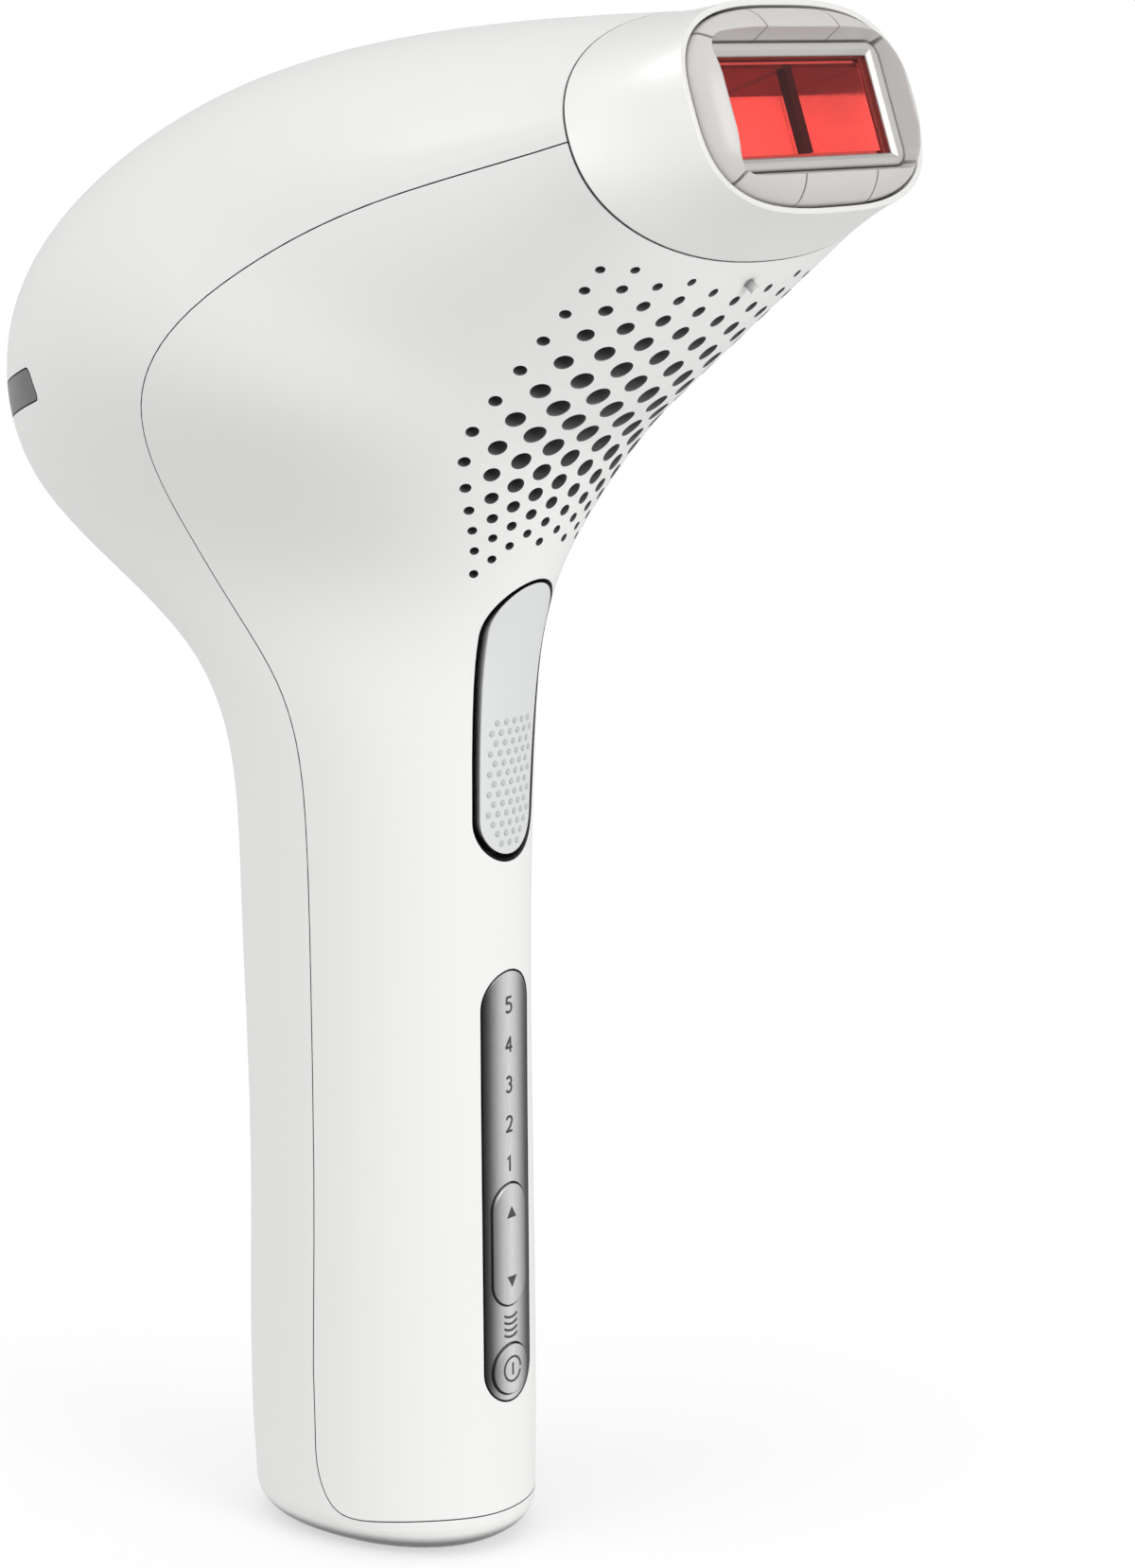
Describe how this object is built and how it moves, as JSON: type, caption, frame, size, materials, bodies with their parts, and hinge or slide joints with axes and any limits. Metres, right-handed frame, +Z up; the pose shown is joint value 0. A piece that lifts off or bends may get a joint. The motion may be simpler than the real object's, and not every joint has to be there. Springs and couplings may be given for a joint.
{
  "type": "ipl hair remover",
  "caption": "Hand-held flash hair remover: curved two-shell handset, red-filtered light window in a segmented contact ring, flash trigger, control strip and cooling vents.",
  "frame": {"origin": "centre of the flat foot of the handle, at the mouth of the charging socket", "axes": "+Z up the handle, +X towards the trigger and the light window, Y across the width"},
  "size_m": [0.1382, 0.074, 0.2127],
  "materials": {
    "aluminium_plain": "plain",
    "attachment_pearl": "pearl",
    "bezel_metal": "satin",
    "brass_plain": "plain",
    "cell_wrap": "film",
    "ceramic_white": "matt",
    "circuit_board": "solder mask",
    "clear_glass": "polished",
    "dark_plastic": "matt",
    "filter_red": "polished",
    "grey_plastic": "matt",
    "light_pipe": "clear",
    "mirror_metal": "mirror",
    "ring_grey": "satin",
    "shell_white": "gloss",
    "smoke_lens": "gloss",
    "steel": "plain",
    "strip_metal": "brushed",
    "trigger_silver": "satin"
  },
  "bodies": {
    "handset": {"battery_cells": "cell_wrap", "battery_contacts": "steel", "battery_holder": "grey_plastic", "board_components": "dark_plastic", "capacitor_clamp": "grey_plastic", "charge_light_guide": "light_pipe", "charging_socket": "dark_plastic", "chassis_screws": "steel", "control_board": "circuit_board", "control_strip": "strip_metal", "fan_housing": "dark_plastic", "fan_motor": "steel", "flash_capacitor": "aluminium_plain", "flash_lamp": "clear_glass", "front_shell": "shell_white", "handle_chassis": "grey_plastic", "heat_sink": "aluminium_plain", "lamp_electrodes": "brass_plain", "lamp_holders": "ceramic_white", "level_leds": "ceramic_white", "level_light_guides": "light_pipe", "nose_frame": "grey_plastic", "power_board": "circuit_board", "ready_light_lens": "smoke_lens", "rear_shell": "shell_white", "reflector": "mirror_metal", "rocker_pivot_pin": "steel", "socket_contact": "brass_plain", "tact_switches": "dark_plastic", "thermal_sensor": "ceramic_white", "transformer": "steel", "trigger_liner": "dark_plastic", "trigger_pivot_pin": "steel", "trigger_switch": "dark_plastic", "uv_filter_glass": "clear_glass", "vent_dust_mesh": "dark_plastic"},
    "trigger": {"trigger_button": "trigger_silver", "trigger_spring": "steel"},
    "trigger_plunger": {"trigger_switch_plunger": "ceramic_white"},
    "rocker": {"rocker_button": "strip_metal"},
    "power_key": {"power_button": "strip_metal"},
    "attachment": {"attachment_housing": "attachment_pearl", "window_frame": "bezel_metal", "window_filter_glass": "filter_red", "light_tunnel": "mirror_metal", "window_baffle": "dark_plastic", "heat_filter_plates": "filter_red", "contact_sensor_board": "circuit_board", "contact_domes": "steel", "attachment_contact_pins": "brass_plain"},
    "fan": {"fan_impeller": "dark_plastic"},
    "key_left": {"ring_segment_left": "ring_grey"},
    "key_right": {"ring_segment_right": "ring_grey"},
    "key_top_left": {"ring_segment_top_left": "ring_grey"},
    "key_top_mid": {"ring_segment_top_mid": "ring_grey"},
    "key_top_right": {"ring_segment_top_right": "ring_grey"},
    "key_bottom_left": {"ring_segment_bottom_left": "ring_grey"},
    "key_bottom_mid": {"ring_segment_bottom_mid": "ring_grey"},
    "key_bottom_right": {"ring_segment_bottom_right": "ring_grey"}
  },
  "joints": [
    {"name": "trigger_press", "type": "hinge", "parent": "handset", "child": "trigger", "pos_m": [0.0175, 0, 0.1315], "axis": [0, 1, 0], "range_deg": [0, 4.2]},
    {"name": "trigger_switch_press", "type": "slide", "parent": "handset", "child": "trigger_plunger", "axis": [-1, 0, 0], "range_m": [0, 0.0019]},
    {"name": "rocker_tilt", "type": "hinge", "parent": "handset", "child": "rocker", "pos_m": [0.0198, 0, 0.04365], "axis": [0, 1, 0], "range_deg": [-3, 3]},
    {"name": "power_press", "type": "slide", "parent": "handset", "child": "power_key", "axis": [-1, 0, 0], "range_m": [0, 0.0006]},
    {"name": "attachment_release", "type": "slide", "parent": "handset", "child": "attachment", "axis": [0.9455, 0, 0.3256], "range_m": [0, 0.03]},
    {"name": "fan_spin", "type": "hinge", "parent": "handset", "child": "fan", "pos_m": [0.023, 0, 0.158], "axis": [0.7691, 0, -0.6392], "continuous": true},
    {"name": "contact_press_left", "type": "slide", "parent": "attachment", "child": "key_left", "axis": [-0.9455, 0, -0.3256], "range_m": [0, 0.001]},
    {"name": "contact_press_right", "type": "slide", "parent": "attachment", "child": "key_right", "axis": [-0.9455, 0, -0.3256], "range_m": [0, 0.001]},
    {"name": "contact_press_top_left", "type": "slide", "parent": "attachment", "child": "key_top_left", "axis": [-0.9455, 0, -0.3256], "range_m": [0, 0.001]},
    {"name": "contact_press_top_mid", "type": "slide", "parent": "attachment", "child": "key_top_mid", "axis": [-0.9455, 0, -0.3256], "range_m": [0, 0.001]},
    {"name": "contact_press_top_right", "type": "slide", "parent": "attachment", "child": "key_top_right", "axis": [-0.9455, 0, -0.3256], "range_m": [0, 0.001]},
    {"name": "contact_press_bottom_left", "type": "slide", "parent": "attachment", "child": "key_bottom_left", "axis": [-0.9455, 0, -0.3256], "range_m": [0, 0.001]},
    {"name": "contact_press_bottom_mid", "type": "slide", "parent": "attachment", "child": "key_bottom_mid", "axis": [-0.9455, 0, -0.3256], "range_m": [0, 0.001]},
    {"name": "contact_press_bottom_right", "type": "slide", "parent": "attachment", "child": "key_bottom_right", "axis": [-0.9455, 0, -0.3256], "range_m": [0, 0.001]}
  ],
  "couplings": [
    {"joint": "trigger_switch_press", "follows": "trigger_press", "m_per_rad": 0.0255}
  ]
}
